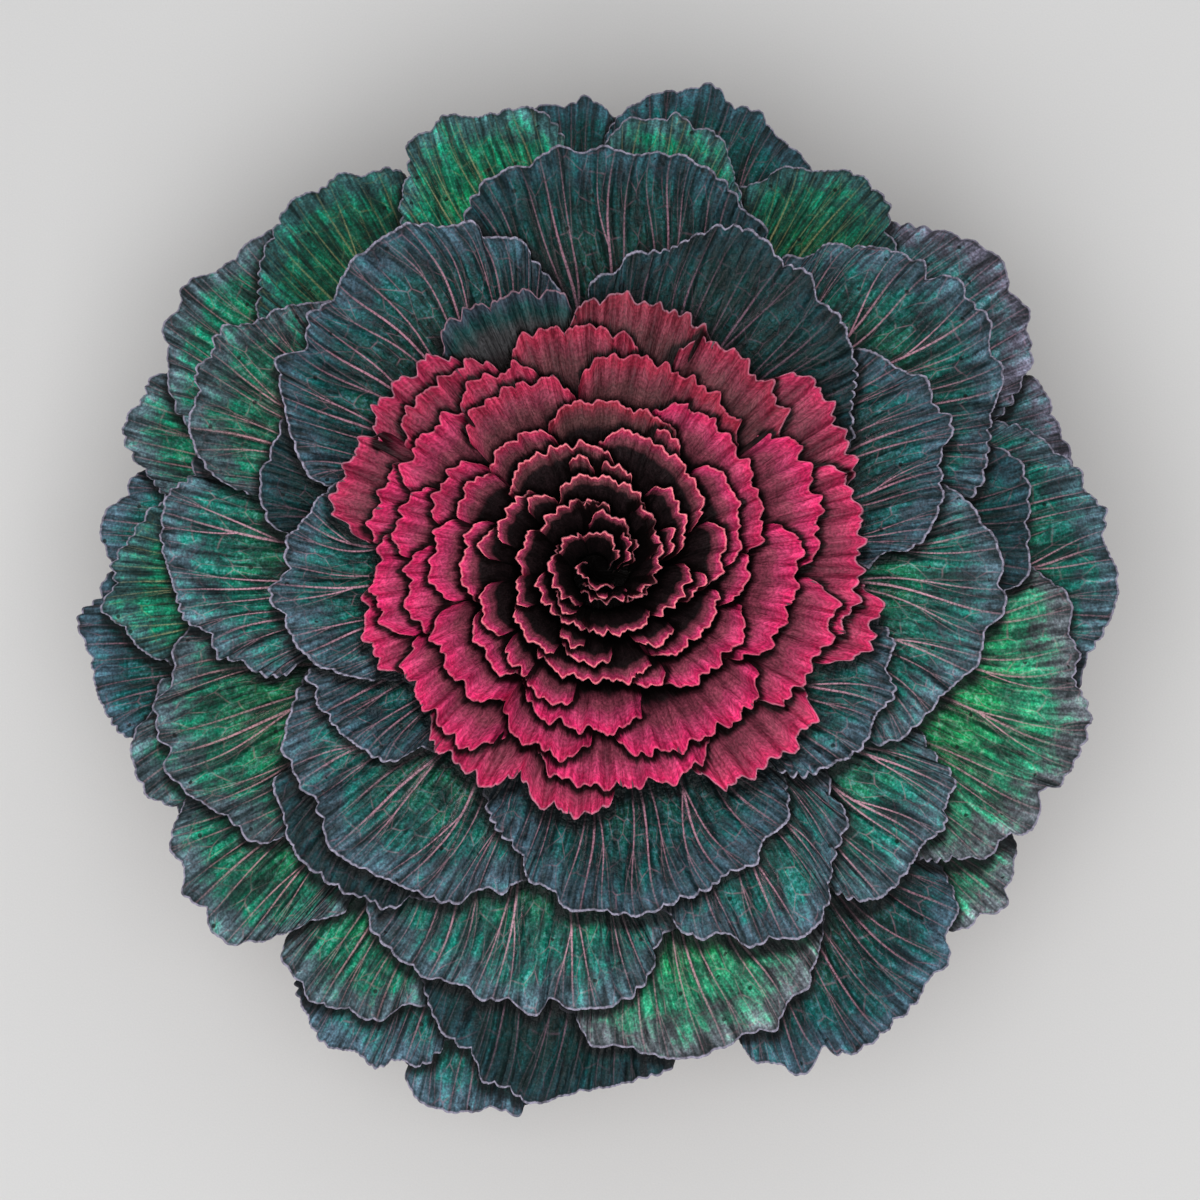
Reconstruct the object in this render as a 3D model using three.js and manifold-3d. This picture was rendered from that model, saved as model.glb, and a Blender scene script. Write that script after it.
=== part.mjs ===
// Potted ornamental kale. A clay pot is filled with soil, and a short stem stands
// in a hole in the soil. Broad leaves spread from the stem in three rings, one
// over the other, round a dense head of frilled red leaves.
// Millimetres, +Z up. The origin is the middle of the pot's flat underside.

import * as THREE from 'three';
import { mergeVertices } from 'three/addons/utils/BufferGeometryUtils.js';
import Module from 'manifold-3d';

const wasm = await Module();
wasm.setup();

const { cos, sin, hypot, PI } = Math;
const radians = THREE.MathUtils.degToRad;

// Gap between pieces that touch
const GAP = 0.3;
const SAME_CORNER = 1e-4;

// Colours and finish
const CLAY = 0xb0623f;
const EARTH = 0x3b2a20;
const STEM_GREEN = 0x7f9a68;
const SLATE_GREEN = 0x2e6660;
const BLUE_GREEN = 0x33705f;
const LEAF_GREEN = 0x2c6a4c;
const CRIMSON = 0xa03058;
const CLAY_ROUGHNESS = 0.85;
const EARTH_ROUGHNESS = 0.95;
const LEAF_ROUGHNESS = 0.6;

// Pot
const POT_HEIGHT = 165;
const POT_BASE_RADIUS = 68;
const POT_TOP_RADIUS = 96;
const POT_FLOOR = 9;
const POT_LIP = 9.5;
const POT_WALL = 7;
const RIM_HEIGHT = 34;
const RIM_STEP = 4.5;
const POT_BEVEL = 1.5;
const POT_SIDES = 36;
const DRAIN_RADIUS = 5.5;
const DRAIN_RING = 36;
const DRAIN_HOLES = 3;
const DRAIN_TURN = radians(30);
const DRAIN_SIDES = 12;

// Soil, whose top is uneven between its edge and the stem
const SOIL_TOP = 149;
const SOIL_RINGS = [68, 48, 30];
const SOIL_SWELL = 2.2;
const SOIL_WAVE = 0.1;

// Stem
const STEM_RADIUS = 15;
const STEM_FOOT_RADIUS = 18;
const STEM_BOTTOM = 112;
const STEM_BEVEL = 2;
const STEM_SIDES = 18;

// Green leaves lie on nested bowls, one level apart where they overlap. The
// highest bowl is the steepest, and the lowest one sags the most.
const LOWEST_LEAF = 186;
const LEVEL_STEP = 5.4;
const LEVELS = 11;
const BOWL_SLOPE = 0.43;
const OUTER_DROOP = 0.02;
const SLOPE_POWER = 1.3;
const SAG = 0.0018;
const SAG_LIFTED = 0.7;
const CLEAR_ANGLE = radians(2);

// A gentle swell that every leaf follows: height, waves round the plant, start
const SWELLS = [[2.4, 3, 1.1], [1.5, 7, 2.3]];
const SWELL_FROM = 2 * STEM_RADIUS;
const SWELL_FULL = 160;

// Outline of a green leaf: a narrow root and neck, then a fan of main veins that
// ends on an ellipse, which its lobes make uneven
const LEAF_BASE_HALF = 4;
const LEAF_NECK_HALF = 7;
const LEAF_NECK_SHARE = 0.58;
const LEAF_FAN = radians(100);
const LEAF_LENGTH = 20;
const LEAF_LENGTH_SHARE = 0.45;
const LEAF_PHASE = 2.4;

// Lobes of a margin: share of the leaf's size, waves, and share of its phase
const LOBES = [[0.04, 3, 1], [0.03, 5, 1.7], [0.015, 9, 2.3]];
const LOBE_ALLOWANCE = 1.06;

// Section of a green leaf: a thin blade over a keel that fades from the root,
// with a ruffled margin that drops towards the level below
const BLADE = 1.1;
const KEEL = 3.4;
const KEEL_SHOULDER = 0.6;
const KEEL_FADE = 2.2;
const RUFFLE = 1.8;
const RUFFLE_WAVES = 4;
const MARGIN_DROP = 0.5;

// Rows across a blade: place from the root to the margin, and segments
const LEAF_ROWS = [[0, 4], [0.3, 4], [0.55, 4], [0.8, 8], [1, 16]];

// Leaf rings, highest leaf first. Each leaf is the bearing of its tip in degrees,
// the reach of its tip from the stem's axis, and half of its width.
const RINGS = [
  {
    name: 'inner',
    firstLevel: 0,
    colour: SLATE_GREEN,
    leaves: [
      [183, 102, 34], [209, 100, 26], [331, 103, 32], [59, 114, 48], [281, 111, 48],
      [24, 121, 34], [229, 121, 52], [130, 126, 50], [355, 128, 46],
    ],
  },
  {
    name: 'middle',
    firstLevel: 2,
    colour: BLUE_GREEN,
    leaves: [
      [161, 114, 26], [87, 140, 50], [298, 131, 34], [227, 132, 36], [150, 146, 34],
      [173, 142, 42], [319, 139, 32], [36, 150, 48], [11, 143, 38], [255, 142, 53],
      [202, 151, 42], [284, 156, 46],
    ],
  },
  {
    name: 'outer',
    firstLevel: 5,
    colour: LEAF_GREEN,
    leaves: [
      [80, 160, 26], [59, 165, 29], [105, 169, 30], [125, 167, 41], [342, 165, 52],
      [178, 162, 28], [266, 165, 50], [4, 171, 47], [217, 167, 33], [236, 162, 30],
      [141, 175, 38], [40, 175, 41], [202, 162, 30], [76, 180, 38], [186, 172, 37],
      [241, 172, 30], [155, 169, 32], [303, 172, 48], [92, 174, 32], [170, 168, 28],
      [255, 175, 30], [323, 166, 28], [23, 167, 32],
    ],
  },
];

// Red head: each leaf is its bearing in degrees, half of the arc that it spans in
// degrees, and the radius of its frilled margin
const HEAD_LEAVES = [
  [30, 17, 91], [78, 19, 86], [111, 17, 92], [138, 15, 87], [161, 13, 88], [198, 14, 79],
  [236, 14, 82], [262, 12, 84], [311, 17, 88], [345, 10, 93], [0, 24, 86],
  [51, 19, 80], [96, 19, 76], [133, 17, 78], [165, 14, 74], [187, 16, 73], [223, 19, 75],
  [277, 25, 76], [335, 19, 79], [16, 21, 74],
  [66, 29, 66], [120, 14, 69], [146, 16, 69], [169, 12, 66], [191, 15, 63], [253, 15, 66],
  [300, 25, 69], [347, 24, 65],
  [118, 20, 62], [34, 34, 57], [155, 14, 56], [180, 16, 54], [217, 19, 61], [263, 23, 57],
  [80, 30, 50], [18, 24, 48], [125, 16, 47], [153, 13, 48], [221, 17, 49], [249, 12, 50],
  [318, 23, 53], [350, 12, 49],
  [54, 35, 41], [112, 32, 38], [181, 20, 44], [207, 14, 42], [266, 32, 41], [321, 24, 42],
  [0, 18, 41],
  [28, 24, 31], [152, 20, 33], [228, 20, 35], [262, 16, 35], [334, 22, 30],
  [82, 38, 26], [172, 20, 25], [227, 34, 23], [285, 30, 26], [27, 30, 21], [120, 38, 20],
  [350, 46, 20],
  [48, 50, 14], [200, 44, 16], [278, 36, 14], [60, 60, 8], [240, 60, 8],
];

// The head's core lies on the highest bowl of green leaves and on the stem
const HEAD_CLEARANCE = 3;
const HEAD_CORE_RADIUS = 60;
const HEAD_CORE_DEPTH = 9;
const HEAD_CORE_RIM = 1;
const HEAD_CORE_STEP = 12;
const HEAD_CORE_SIDES = 28;
const STEM_TOP = LOWEST_LEAF + (LEVELS - 1) * LEVEL_STEP + HEAD_CLEARANCE;

// Margins are highest on the crest, and fall to the heart and to the outside
const HEAD_CREST = 288;
const HEAD_CREST_RADIUS = 52;
const HEAD_OUTER_FALL = 0.0065;
const HEAD_HEART_FALL = 0.0055;

// A red leaf rises from the core, flares to its margin and leans a little, so
// that one side of it lies over the next leaf
const HEAD_ROOT_SHARE = 0.6;
const HEAD_ROOT_DEPTH = 3;
const HEAD_FLARE_OUT = 0.3;
const HEAD_FLARE_UP = 0.8;
const HEAD_BLADE = 1.2;
const HEAD_SIDE_DROP = 0.42;
const HEAD_SIDE_POWER = 3.5;
const HEAD_LEAN = 2.2;
const HEAD_MIDDLE_ROW = 0.55;
const SMALL_HEAD_LEAF = 30;
const FRILL_OUT = 1.5;
const FRILL_UP = -0.9;
const FRILL_PITCH = 11;

// How far to each side a red leaf's slope is measured
const SLOPE_REACH = 0.01;

// Solids

// The same surface with shared corners and no collapsed triangles
function closed(geometry) {
  const bare = new THREE.BufferGeometry();
  bare.setAttribute('position', geometry.getAttribute('position'));
  bare.setIndex(geometry.getIndex());
  const merged = mergeVertices(bare, SAME_CORNER);
  const corners = merged.getIndex().array;
  const kept = [];
  for (let i = 0; i < corners.length; i += 3) {
    const [a, b, c] = corners.slice(i, i + 3);
    if (a !== b && b !== c && c !== a) kept.push(a, b, c);
  }
  merged.setIndex(kept);
  return merged;
}

function toSolid(geometry) {
  const merged = closed(geometry);
  const vertProperties = new Float32Array(merged.getAttribute('position').array);
  const triVerts = new Uint32Array(merged.getIndex().array);
  return new wasm.Manifold(new wasm.Mesh({ numProp: 3, vertProperties, triVerts }));
}

function toGeometry(solid) {
  const mesh = solid.getMesh();
  const geometry = new THREE.BufferGeometry();
  geometry.setAttribute('position', new THREE.BufferAttribute(mesh.vertProperties, 3));
  geometry.setIndex(new THREE.BufferAttribute(mesh.triVerts, 1));
  return geometry;
}

// A solid of revolution about Z from a profile of [radius, height] pairs
function turned(profile, sides) {
  const points = profile.map(([radius, height]) => new THREE.Vector2(radius, height));
  return new THREE.LatheGeometry(points, sides).rotateX(PI / 2);
}

// The same surface with each corner raised by lift(x, y, z)
function lifted(geometry, lift) {
  const corners = geometry.getAttribute('position');
  for (let i = 0; i < corners.count; i += 1) {
    const [x, y, z] = [corners.getX(i), corners.getY(i), corners.getZ(i)];
    corners.setZ(i, z + lift(x, y, z));
  }
  return geometry;
}

// A closed blade between two faces, upperFace(u, v) and lowerFace(u, v), with u
// from -1 to 1 across and v from 0 at the root to 1 at the margin. rows lists [v,
// segments across]. A row has as many segments as the row before it, or twice as
// many.
function bladeGeometry(upperFace, lowerFace, rows) {
  const upper = [];
  const lower = [];
  const starts = [];
  for (const [v, segments] of rows) {
    starts.push(upper.length);
    for (let i = 0; i <= segments; i += 1) {
      const u = -1 + (2 * i) / segments;
      upper.push(upperFace(u, v));
      lower.push(lowerFace(u, v));
    }
  }

  const face = [];
  for (let row = 1; row < rows.length; row += 1) {
    face.push(...strip(starts[row - 1], rows[row - 1][1], starts[row], rows[row][1]));
  }

  const under = upper.length;
  const triangles = face.map((triangle) => triangle.slice());
  face.forEach(([a, b, c]) => triangles.push([a + under, c + under, b + under]));
  const edge = rimOf(rows, starts);
  edge.forEach((a, i) => {
    const b = edge[(i + 1) % edge.length];
    triangles.push([a, b, a + under], [b, b + under, a + under]);
  });

  const geometry = new THREE.BufferGeometry();
  const corners = [...upper, ...lower].flatMap((point) => point.toArray());
  geometry.setAttribute('position', new THREE.Float32BufferAttribute(corners, 3));
  geometry.setIndex(triangles.flat());
  return geometry;
}

// Triangles between two rows that start at vertex a and b
function strip(a, segmentsA, b, segmentsB) {
  const triangles = [];
  const doubled = segmentsB === 2 * segmentsA;
  for (let i = 0; i < segmentsA; i += 1) {
    if (doubled) {
      const middle = b + 2 * i + 1;
      triangles.push([a + i, middle - 1, middle]);
      triangles.push([a + i, middle, a + i + 1]);
      triangles.push([a + i + 1, middle, middle + 1]);
    } else {
      triangles.push([a + i, b + i + 1, a + i + 1]);
      triangles.push([a + i, b + i, b + i + 1]);
    }
  }
  return triangles;
}

// The blade's edge as a loop of vertices: root, right side, margin, left side
function rimOf(rows, starts) {
  const last = rows.length - 1;
  const loop = [];
  for (let i = 0; i < rows[0][1]; i += 1) loop.push(starts[0] + i);
  for (let row = 0; row < last; row += 1) loop.push(starts[row] + rows[row][1]);
  for (let i = rows[last][1]; i > 0; i -= 1) loop.push(starts[last] + i);
  for (let row = last; row > 0; row -= 1) loop.push(starts[row]);
  return loop;
}

function quadratic(a, b, c, t) {
  return (1 - t) * (1 - t) * a + 2 * t * (1 - t) * b + t * t * c;
}

// Pot and soil

const potInside = (height) => {
  const share = (height - POT_FLOOR) / (POT_HEIGHT - POT_FLOOR);
  const bottom = POT_BASE_RADIUS - POT_WALL;
  return bottom + share * (POT_TOP_RADIUS - POT_LIP - bottom);
};

function potGeometry() {
  const rimBottom = POT_HEIGHT - RIM_HEIGHT;
  const slope = (POT_TOP_RADIUS - RIM_STEP - POT_BASE_RADIUS) / POT_HEIGHT;
  const bodyTop = POT_BASE_RADIUS + slope * rimBottom;
  const rimRadius = POT_TOP_RADIUS - slope * RIM_HEIGHT;
  const pot = toSolid(turned([
    [0, 0],
    [POT_BASE_RADIUS - POT_BEVEL, 0],
    [POT_BASE_RADIUS, POT_BEVEL],
    [bodyTop, rimBottom],
    [rimRadius, rimBottom + POT_BEVEL],
    [POT_TOP_RADIUS, POT_HEIGHT - POT_BEVEL],
    [POT_TOP_RADIUS - POT_BEVEL, POT_HEIGHT],
    [POT_TOP_RADIUS - POT_LIP + POT_BEVEL, POT_HEIGHT],
    [potInside(POT_HEIGHT - POT_BEVEL), POT_HEIGHT - POT_BEVEL],
    [potInside(POT_FLOOR), POT_FLOOR],
    [0, POT_FLOOR],
  ], POT_SIDES));
  return toGeometry(pot.subtract(drainHoles()));
}

function drainHoles() {
  const holes = [];
  for (let i = 0; i < DRAIN_HOLES; i += 1) {
    const bearing = DRAIN_TURN + (2 * PI * i) / DRAIN_HOLES;
    const length = 3 * POT_FLOOR;
    const hole = new THREE.CylinderGeometry(DRAIN_RADIUS, DRAIN_RADIUS, length, DRAIN_SIDES);
    hole.rotateX(PI / 2);
    hole.translate(DRAIN_RING * cos(bearing), DRAIN_RING * sin(bearing), POT_FLOOR / 2);
    holes.push(toSolid(hole));
  }
  return holes.reduce((all, hole) => all.add(hole));
}

function soilGeometry() {
  const hole = STEM_FOOT_RADIUS + GAP;
  const soil = turned([
    [0, POT_FLOOR + GAP],
    [potInside(POT_FLOOR) - GAP, POT_FLOOR + GAP],
    [potInside(SOIL_TOP) - GAP, SOIL_TOP],
    ...SOIL_RINGS.map((radius) => [radius, SOIL_TOP]),
    [hole, SOIL_TOP],
    [hole, STEM_BOTTOM - GAP],
    [0, STEM_BOTTOM - GAP],
  ], POT_SIDES);
  const widest = SOIL_RINGS[0] + 1;
  const narrowest = SOIL_RINGS.at(-1) - 1;
  return lifted(soil, (x, y, z) => {
    const open = z === SOIL_TOP && hypot(x, y) < widest && hypot(x, y) > narrowest;
    return open ? SOIL_SWELL * sin(SOIL_WAVE * x) * cos(SOIL_WAVE * y) : 0;
  });
}

function stemGeometry() {
  return turned([
    [0, STEM_BOTTOM],
    [STEM_FOOT_RADIUS - STEM_BEVEL, STEM_BOTTOM],
    [STEM_FOOT_RADIUS, SOIL_TOP],
    [STEM_RADIUS, LOWEST_LEAF - 2 * LEVEL_STEP],
    [STEM_RADIUS, STEM_TOP - STEM_BEVEL],
    [STEM_RADIUS - STEM_BEVEL, STEM_TOP],
    [0, STEM_TOP],
  ], STEM_SIDES);
}

// Green leaves

// Leaves a level apart stay clear, because all of them follow the same swell
function swell(x, y) {
  const bearing = Math.atan2(y, x);
  const out = THREE.MathUtils.smoothstep(hypot(x, y), SWELL_FROM, SWELL_FULL);
  return SWELLS.reduce(
    (sum, [height, waves, start]) => sum + out * height * sin(waves * bearing + start),
    0,
  );
}

function bowlHeight(reach, level) {
  const rise = (LEVELS - 1 - level) * LEVEL_STEP;
  const share = Math.max(0, rise / ((LEVELS - 1) * LEVEL_STEP));
  const slope = (BOWL_SLOPE + OUTER_DROOP) * share ** SLOPE_POWER - OUTER_DROOP;
  const sag = SAG * (1 - SAG_LIFTED * share * share);
  const out = reach - STEM_RADIUS;
  return LOWEST_LEAF + rise + slope * out - sag * out * out;
}

function leafShape([bearing, reach, half], index) {
  const length = LEAF_LENGTH + LEAF_LENGTH_SHARE * half;
  return {
    bearing: radians(bearing),
    reach,
    half,
    length,
    middle: reach - length,
    phase: LEAF_PHASE * index,
  };
}

// Half of the angle that a leaf's blade covers, seen from the stem's axis
function bladeSpread({ half, length, middle }) {
  return LOBE_ALLOWANCE * Math.atan(half / Math.sqrt(middle * middle - length * length));
}

// Leaves overlap where their blades do, or their narrow roots at the stem
function overlaps(a, b) {
  const turn = a.bearing - b.bearing;
  const between = Math.abs(Math.atan2(sin(turn), cos(turn)));
  const roots = 2 * Math.atan(LEAF_BASE_HALF / STEM_RADIUS);
  return between < Math.max(bladeSpread(a) + bladeSpread(b), roots) + CLEAR_ANGLE;
}

// Each leaf lies one level under the lowest of the leaves over it
function stackLeaves() {
  const placed = [];
  for (const ring of RINGS) {
    ring.leaves.forEach((values, i) => {
      const leaf = leafShape(values, placed.length);
      const over = placed.filter((other) => overlaps(leaf, other));
      leaf.level = Math.max(ring.firstLevel, ...over.map((other) => other.level + 1));
      leaf.name = `${ring.name}_leaf_${String(i + 1).padStart(2, '0')}`;
      leaf.colour = ring.colour;
      placed.push(leaf);
    });
  }
  return placed;
}

// Lobes fade from the tip to both sides
function lobedSize(u, phase) {
  const lobes = LOBES.reduce(
    (sum, [share, waves, turn]) => sum + share * sin(waves * u * LEAF_FAN + turn * phase),
    0,
  );
  return 1 + (1 - u * u) * lobes;
}

// Upper face of a leaf: every line of equal u is a main vein, from the root
// through the narrow neck to the margin, which drops towards the level below
function leafSurface(leaf, u, v) {
  const angle = u * LEAF_FAN;
  const size = lobedSize(u, leaf.phase);
  const out = quadratic(
    STEM_RADIUS + GAP,
    LEAF_NECK_SHARE * leaf.middle,
    leaf.middle + leaf.length * cos(angle) * size,
    v,
  );
  const side = quadratic(
    u * LEAF_BASE_HALF,
    u * LEAF_NECK_HALF,
    leaf.half * sin(angle) * size,
    v,
  );
  const x = out * cos(leaf.bearing) - side * sin(leaf.bearing);
  const y = out * sin(leaf.bearing) + side * cos(leaf.bearing);
  const ruffle = RUFFLE * v ** 4 * sin(RUFFLE_WAVES * angle + leaf.phase);
  const level = leaf.level + MARGIN_DROP * v ** 3;
  return new THREE.Vector3(x, y, bowlHeight(hypot(x, y), level) + swell(x, y) + ruffle);
}

function leafUnderside(leaf, u, v) {
  const keel = KEEL * (1 - KEEL_SHOULDER * u * u) * (1 - v) ** KEEL_FADE;
  const point = leafSurface(leaf, u, v);
  return point.setZ(point.z - BLADE - keel);
}

function leafGeometry(leaf) {
  const upperFace = (u, v) => leafSurface(leaf, u, v);
  const lowerFace = (u, v) => leafUnderside(leaf, u, v);
  return bladeGeometry(upperFace, lowerFace, LEAF_ROWS);
}

// Red head

const headUnder = (radius) => bowlHeight(Math.max(radius, STEM_RADIUS), 0) + HEAD_CLEARANCE;
const headTop = (radius) => headUnder(radius) + HEAD_CORE_DEPTH;

function headCore() {
  const seat = STEM_TOP + GAP;
  const profile = [[0, seat], [STEM_RADIUS, seat]];
  for (let r = 2 * HEAD_CORE_STEP; r < HEAD_CORE_RADIUS; r += HEAD_CORE_STEP) {
    profile.push([r, headUnder(r)]);
  }
  profile.push([HEAD_CORE_RADIUS, headUnder(HEAD_CORE_RADIUS) + HEAD_CORE_RIM]);
  for (let r = HEAD_CORE_RADIUS - HEAD_CORE_STEP; r > 0; r -= 2 * HEAD_CORE_STEP) {
    profile.push([r, headTop(r)]);
  }
  profile.push([0, headTop(0)]);
  return toSolid(lifted(turned(profile, HEAD_CORE_SIDES), swell));
}

function marginHeight(radius) {
  const off = radius - HEAD_CREST_RADIUS;
  return HEAD_CREST - off * off * (off > 0 ? HEAD_OUTER_FALL : HEAD_HEART_FALL);
}

// Each frill of a margin is one wave out and in
function frillCount([, span, radius]) {
  return Math.max(2, Math.round((2 * radians(span) * radius) / FRILL_PITCH));
}

// Inner face of a red leaf, which rises from the core and flares to its margin
function headLeafSurface(leaf, u, v) {
  const [bearing, span, radius] = leaf;
  const rise = v * (1 - HEAD_SIDE_DROP * Math.abs(u) ** HEAD_SIDE_POWER);
  const margin = radius + HEAD_LEAN * u;
  const root = HEAD_ROOT_SHARE * margin;
  const low = headTop(root) - HEAD_ROOT_DEPTH;
  const high = marginHeight(margin);
  const frill = v ** 3 * cos(PI * frillCount(leaf) * (u + 1));
  const out = quadratic(root, root + HEAD_FLARE_OUT * (margin - root), margin, rise);
  const height = quadratic(low, low + HEAD_FLARE_UP * (high - low), high, rise);
  const angle = radians(bearing) + radians(span) * u;
  const x = (out + FRILL_OUT * frill) * cos(angle);
  const y = (out + FRILL_OUT * frill) * sin(angle);
  return new THREE.Vector3(x, y, height + FRILL_UP * frill + swell(x, y));
}

function headLeafBack(leaf, u, v) {
  const near = (du, dv) => headLeafSurface(leaf, u + du, v + dv);
  const across = near(SLOPE_REACH, 0).sub(near(-SLOPE_REACH, 0));
  const along = near(0, SLOPE_REACH).sub(near(0, -SLOPE_REACH));
  const inward = along.cross(across).normalize();
  return near(0, 0).addScaledVector(inward, -HEAD_BLADE);
}

function headLeaf(leaf) {
  const frills = frillCount(leaf);
  const middle = leaf[2] < SMALL_HEAD_LEAF ? [] : [[HEAD_MIDDLE_ROW, frills]];
  const rows = [[0, frills], ...middle, [1, 2 * frills]];
  const innerFace = (u, v) => headLeafSurface(leaf, u, v);
  const outerFace = (u, v) => headLeafBack(leaf, u, v);
  return toSolid(bladeGeometry(innerFace, outerFace, rows));
}

function headGeometry() {
  const whole = HEAD_LEAVES.map(headLeaf).reduce((all, leaf) => all.add(leaf), headCore());
  const bodies = whole.decompose();
  bodies.sort((a, b) => b.volume() - a.volume());
  return toGeometry(bodies[0]);
}

// Assembly

function part(name, geometry, colour, roughness) {
  const material = new THREE.MeshStandardMaterial({ color: colour, roughness, metalness: 0 });
  const mesh = new THREE.Mesh(geometry, material);
  mesh.name = name;
  return mesh;
}

const kale = new THREE.Group();
kale.add(part('pot', closed(potGeometry()), CLAY, CLAY_ROUGHNESS));
kale.add(part('soil', closed(soilGeometry()), EARTH, EARTH_ROUGHNESS));
kale.add(part('stem', closed(stemGeometry()), STEM_GREEN, LEAF_ROUGHNESS));
for (const leaf of stackLeaves()) {
  kale.add(part(leaf.name, leafGeometry(leaf), leaf.colour, LEAF_ROUGHNESS));
}
kale.add(part('red_head', headGeometry(), CRIMSON, LEAF_ROUGHNESS));

export default kale;
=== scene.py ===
from itertools import combinations
from math import atan, ceil, dist, pi, radians

import bpy
import numpy as np
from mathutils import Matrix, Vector
from numpy import arctan2, cos, exp, hypot, sin, sqrt


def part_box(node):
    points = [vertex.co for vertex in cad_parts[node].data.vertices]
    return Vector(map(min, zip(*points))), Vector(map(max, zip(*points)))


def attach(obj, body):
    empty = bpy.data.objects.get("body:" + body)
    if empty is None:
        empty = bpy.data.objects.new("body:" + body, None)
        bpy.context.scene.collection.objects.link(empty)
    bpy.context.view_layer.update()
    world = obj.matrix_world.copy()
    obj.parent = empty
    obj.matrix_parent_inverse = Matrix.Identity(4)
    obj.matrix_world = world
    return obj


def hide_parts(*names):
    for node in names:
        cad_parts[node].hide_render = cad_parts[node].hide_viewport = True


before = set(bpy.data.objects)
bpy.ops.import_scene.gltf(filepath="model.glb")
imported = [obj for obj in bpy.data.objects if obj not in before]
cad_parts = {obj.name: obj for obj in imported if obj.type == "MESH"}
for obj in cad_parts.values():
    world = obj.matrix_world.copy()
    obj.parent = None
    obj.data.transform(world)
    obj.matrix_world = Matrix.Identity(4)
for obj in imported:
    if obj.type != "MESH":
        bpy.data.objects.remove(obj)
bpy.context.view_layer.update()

# Potted ornamental kale: a clay pot with soil, a short stem, rings of broad green
# leaves and a dense head of frilled red leaves. Lengths are millimetres until a
# mesh is made, and angles are radians unless a name or comment says degrees.
MM = 0.001
TAU = 2 * pi
GOLDEN_ANGLE = radians(137.5)

# Gap between pieces that touch
GAP = 0.3

# Step in u or v over which the slopes of a blade are measured
SLOPE_STEP = 0.004

# Boxes of CAD nodes: lowest and highest corner
POT_BOX, STEM_BOX = (np.array(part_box(node)) / MM for node in ("pot", "stem"))

# Pot
POT_HEIGHT = POT_BOX[1, 2] - POT_BOX[0, 2]
POT_TOP_RADIUS = POT_BOX[1, 0]
POT_BASE_RADIUS = 68
POT_FLOOR = 9
POT_LIP = 9.5
POT_WALL = 7
RIM_HEIGHT = 34
RIM_STEP = 4.5
POT_ROUNDING = 2.2
POT_SIDES = 180
DRAIN_RADIUS = 5.5
DRAIN_RING = 36
DRAIN_HOLES = 3
DRAIN_TURN = radians(30)

# Soil, and crumbs of bark and peat on it
SOIL_TOP = 149
SOIL_SWELL = 2.2
SOIL_WAVE = 0.1
SOIL_SIDES = 150
SOIL_SEED = 7
CRUMBS = 1300
CRUMB_SIZE = 2.4

# Stem, with the scars of fallen leaves
STEM_RADIUS = 15
STEM_FOOT_RADIUS = 18
STEM_BEVEL = 2
STEM_BOTTOM, STEM_TOP = STEM_BOX[:, 2]
STEM_SIDES = 96
SCARS = 26
SCAR_RISE = 1.25
SCAR_WIDTH = 4.2
SCAR_HEIGHT = 1.5
SCAR_DEPTH = 0.9

# Nested bowls of green leaves, one level apart where they overlap. The lowest is the
# flattest and sags the most.
LOWEST_LEAF = 186
LEVEL_STEP = 5.4
LEVELS = 11
BOWL_SLOPE = 0.43
OUTER_DROOP = 0.02
SLOPE_POWER = 1.3
SAG = 0.0018
SAG_LIFTED = 0.7
CLEAR_ANGLE = radians(2)

# A gentle swell that every leaf follows: height, waves round the plant, start
SWELLS = [(2.4, 3, 1.1), (1.5, 7, 2.3)]
SWELL_FROM = 2 * STEM_RADIUS
SWELL_FULL = 160

# Outline of a green leaf: root, neck, and a fan that ends on an ellipse with lobes
LEAF_BASE_HALF = 4
LEAF_NECK_HALF = 7
LEAF_NECK_SHARE = 0.58
LEAF_FAN = radians(100)
LEAF_LENGTH = 20
LEAF_LENGTH_SHARE = 0.45
LEAF_PHASE = 2.4

# Lobes of a margin: share of the leaf's size, waves, and share of its phase
LOBES = [(0.04, 3, 1), (0.03, 5, 1.7), (0.015, 9, 2.3)]
LOBE_ALLOWANCE = 1.06

# Section of a green leaf: a thin blade over a keel, and a ruffled, lower margin
RUFFLE = 1.8
RUFFLE_WAVES = 4
MARGIN_DROP = 0.5
LEAF_BLADE = 0.55
KEEL = 3.4
KEEL_SHOULDER = 0.6
KEEL_FADE = 2.2

# Rows across a blade: their segments, and places from the root to the margin
LEAF_ROWS = {
    8: (0, 0.08), 16: (0.16, 0.25), 32: (0.33, 0.41, 0.48), 64: (0.54, 0.6, 0.65, 0.7),
    128: (0.745, 0.79, 0.825, 0.86, 0.89, 0.915),
    256: (0.938, 0.957, 0.972, 0.984, 0.993, 1),
}

# Scallops and frills of a green margin, and quilting between the veins
SCALLOP_PITCH = 7.6
SCALLOP_DEPTH = 1.35
SCALLOP_MEAN = 0.62
SMALL_SCALLOP, SMALL_SCALLOP_SHARE = 0.25, 0.41
SCALLOP_LOBE = 1.15
LONG_FRILL, LONG_FRILL_PITCH = 1.2, 21
SHORT_FRILL, SHORT_FRILL_PITCH = 0.6, 8.5
FOLD_DROP = 0.5
QUILTING = 1

# Main veins on half a leaf, and how many more for each millimetre of its half width
VEINS = 1.3
VEINS_MORE = 0.045

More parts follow.
